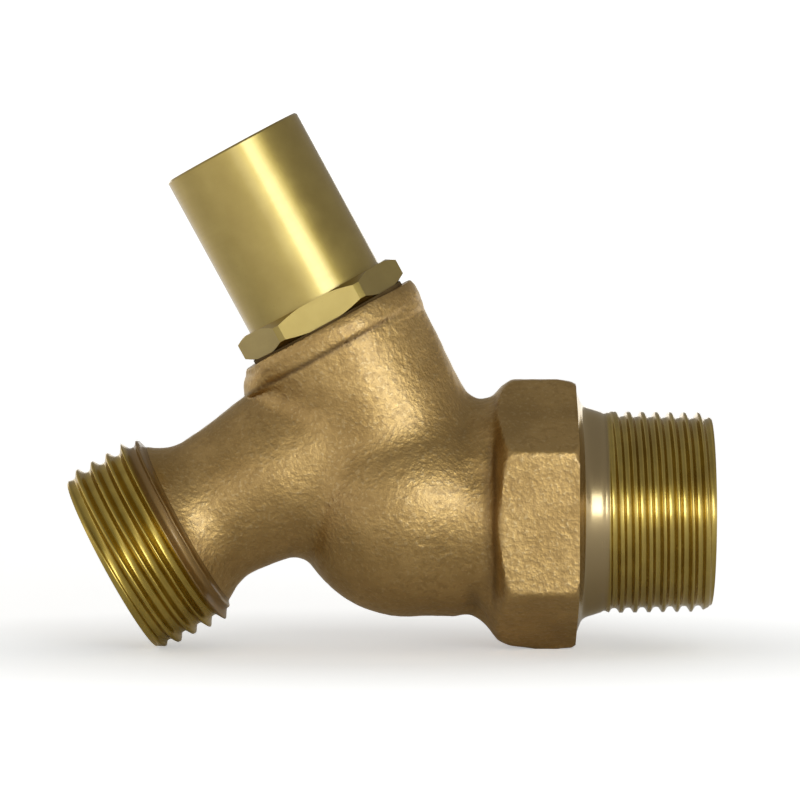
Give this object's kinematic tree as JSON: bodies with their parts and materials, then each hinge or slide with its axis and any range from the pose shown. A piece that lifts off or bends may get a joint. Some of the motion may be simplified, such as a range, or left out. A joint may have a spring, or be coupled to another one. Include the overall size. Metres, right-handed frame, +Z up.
{
  "type": "hose bibb",
  "caption": "Lock-shield hose bibb: a loose key turns an inclined stem inside a tall round shield; bronze body with male pipe inlet and male hose outlet.",
  "frame": {"origin": "on the inlet axis, at the hand-tight plane of the inlet's pipe thread, inside the inlet bore", "axes": "+X out of the inlet end along the pipe, +Z up on the side of the shield; the stem and spout lie in the XZ plane, which is the plane of symmetry of the outside"},
  "size_m": [0.0835, 0.0318, 0.0695],
  "materials": {
    "cast_bronze": "sand cast, with machined threads",
    "turned_brass": "turned, satin",
    "fibre": "pressed fibre",
    "graphite_packing": "pressed",
    "black_rubber": "matt",
    "spring_steel": "bright"
  },
  "bodies": {
    "valve": {"valve_body": "cast_bronze", "bonnet_gasket": "fibre", "lock_shield_bonnet": "turned_brass", "stem_packing": "graphite_packing", "packing_gland": "turned_brass", "packing_nut": "turned_brass"},
    "disc": {"disc_holder": "turned_brass", "seat_washer": "black_rubber", "washer_screw": "turned_brass", "stem_retaining_ring": "spring_steel"},
    "stem": {"stem": "turned_brass"}
  },
  "joints": [
    {"name": "stem_rise", "type": "slide", "parent": "valve", "child": "disc", "axis": [-0.4787, 0, 0.878], "range_m": [0, 0.00508]},
    {"name": "stem_turn", "type": "hinge", "parent": "disc", "child": "stem", "pos_m": [-0.0282, 0, 0], "axis": [-0.4787, 0, 0.878], "range_deg": [0, 720]}
  ],
  "couplings": [
    {"joint": "stem_rise", "follows": "stem_turn", "m_per_rad": 0.00040425}
  ]
}
